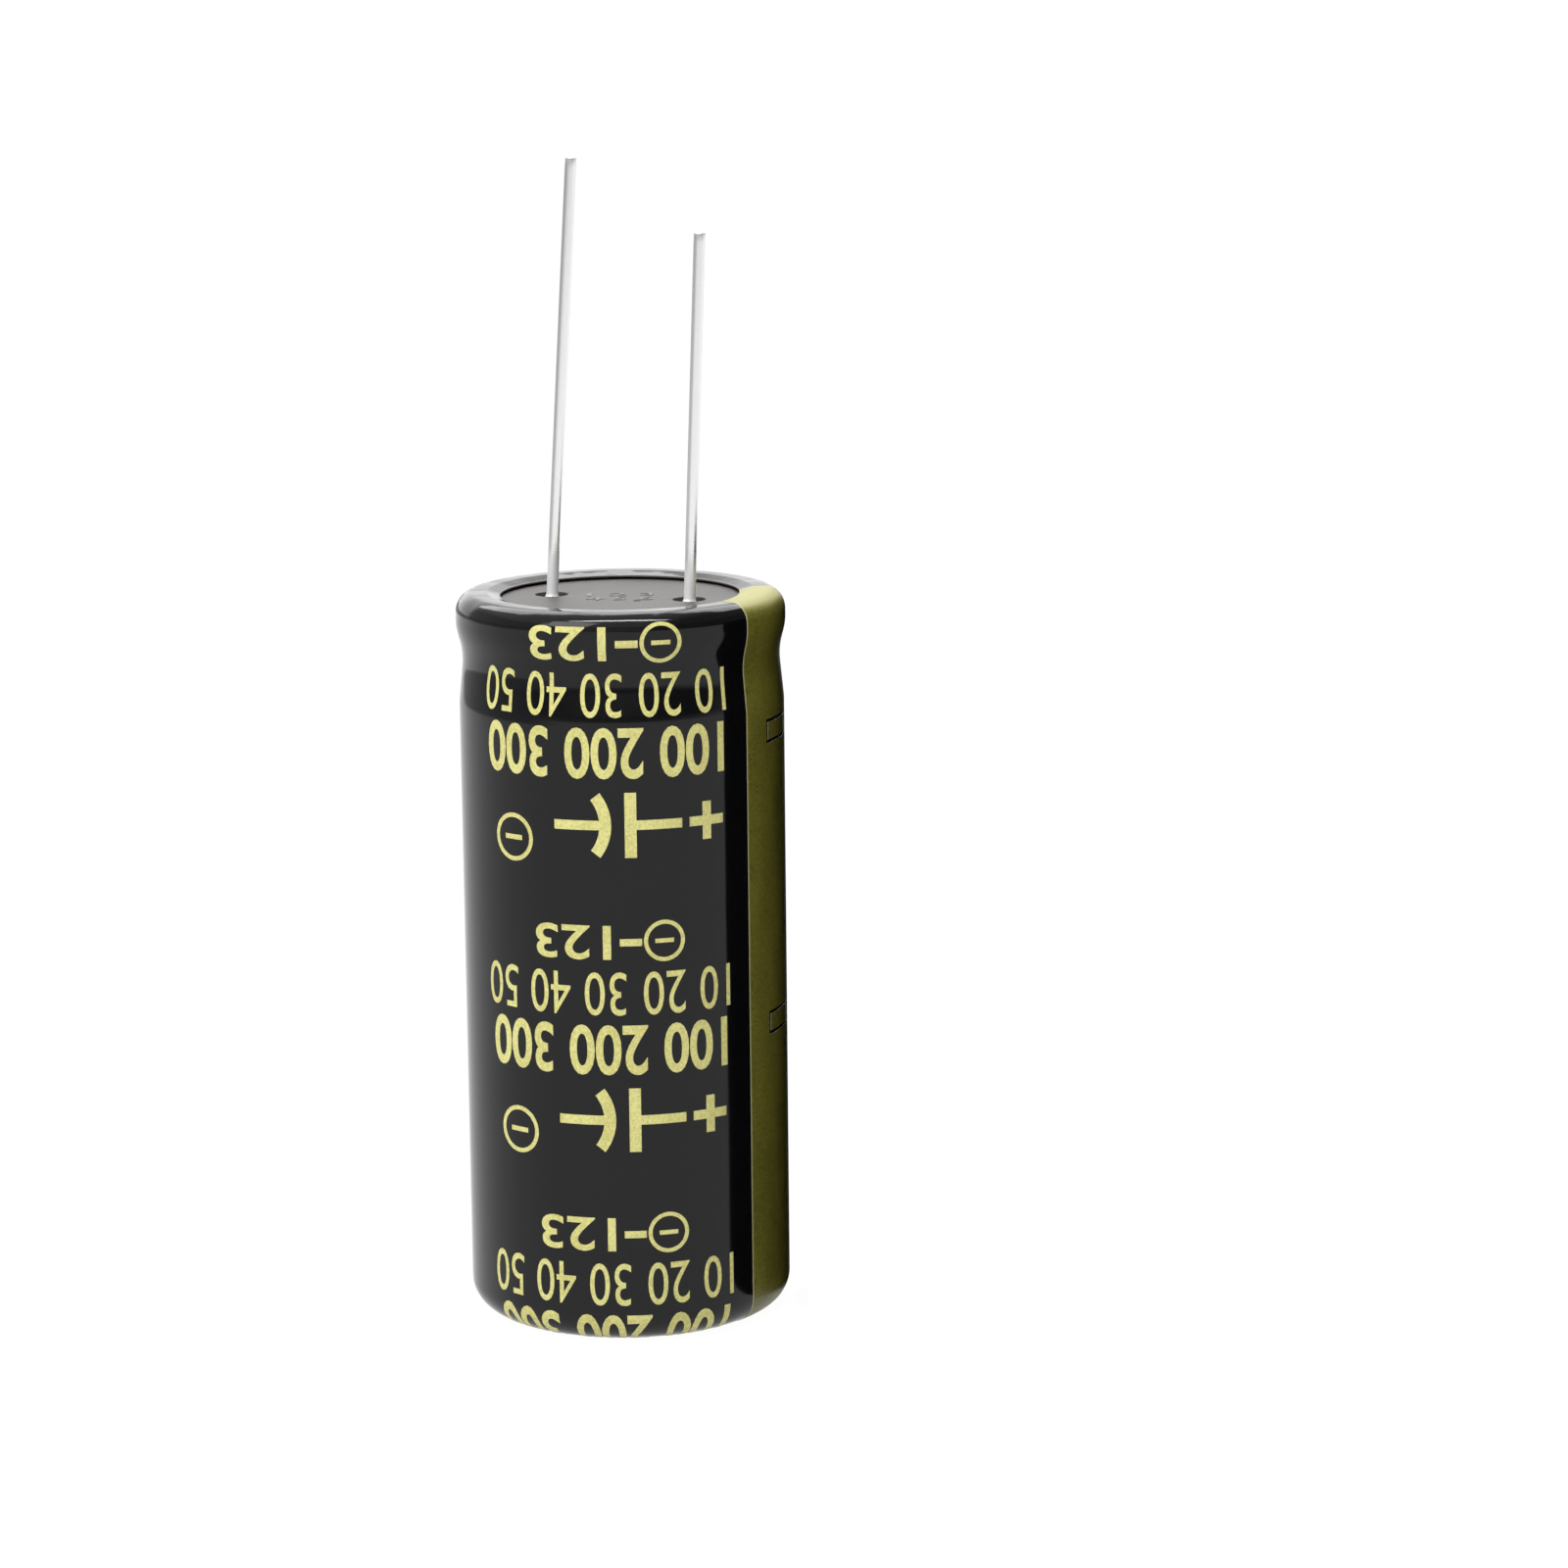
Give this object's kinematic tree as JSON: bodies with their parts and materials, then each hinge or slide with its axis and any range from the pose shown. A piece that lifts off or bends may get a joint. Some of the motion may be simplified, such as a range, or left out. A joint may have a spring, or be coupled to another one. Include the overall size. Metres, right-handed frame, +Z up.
{
  "type": "electrolytic capacitor",
  "caption": "Cylindrical radial electrolytic capacitor: sleeved aluminium can, crimped rubber seal, polarity stripe and two round wire leads on the open end.",
  "frame": {"origin": "on the can's axis, in the plane of the closed end that the part stands on", "axes": "+Z up along the can, from the closed end to the leads; +X from the positive lead to the negative lead, whose side carries the polarity stripe"},
  "size_m": [0.0227, 0.0226, 0.0801],
  "materials": {
    "can_aluminium": "drawn, satin",
    "sleeve_film": "black heat-shrunk film, glossy",
    "stripe_ink": "olive gold ink under the film's gloss",
    "seal_rubber": "moulded, matt",
    "lead_wire": "bright tinned copper-clad steel wire",
    "terminal_aluminium": "pressed aluminium",
    "winding_paper": "foil and paper roll, damp with electrolyte",
    "tape_film": "thin adhesive film"
  },
  "bodies": {
    "root": {"can": "can_aluminium", "sleeve": "sleeve_film", "polarity_stripe": "stripe_ink", "rubber_seal": "seal_rubber", "lead_positive": "lead_wire", "lead_negative": "lead_wire", "terminal_positive": "terminal_aluminium", "terminal_negative": "terminal_aluminium", "wound_element": "winding_paper", "winding_tape": "tape_film"}
  },
  "joints": []
}
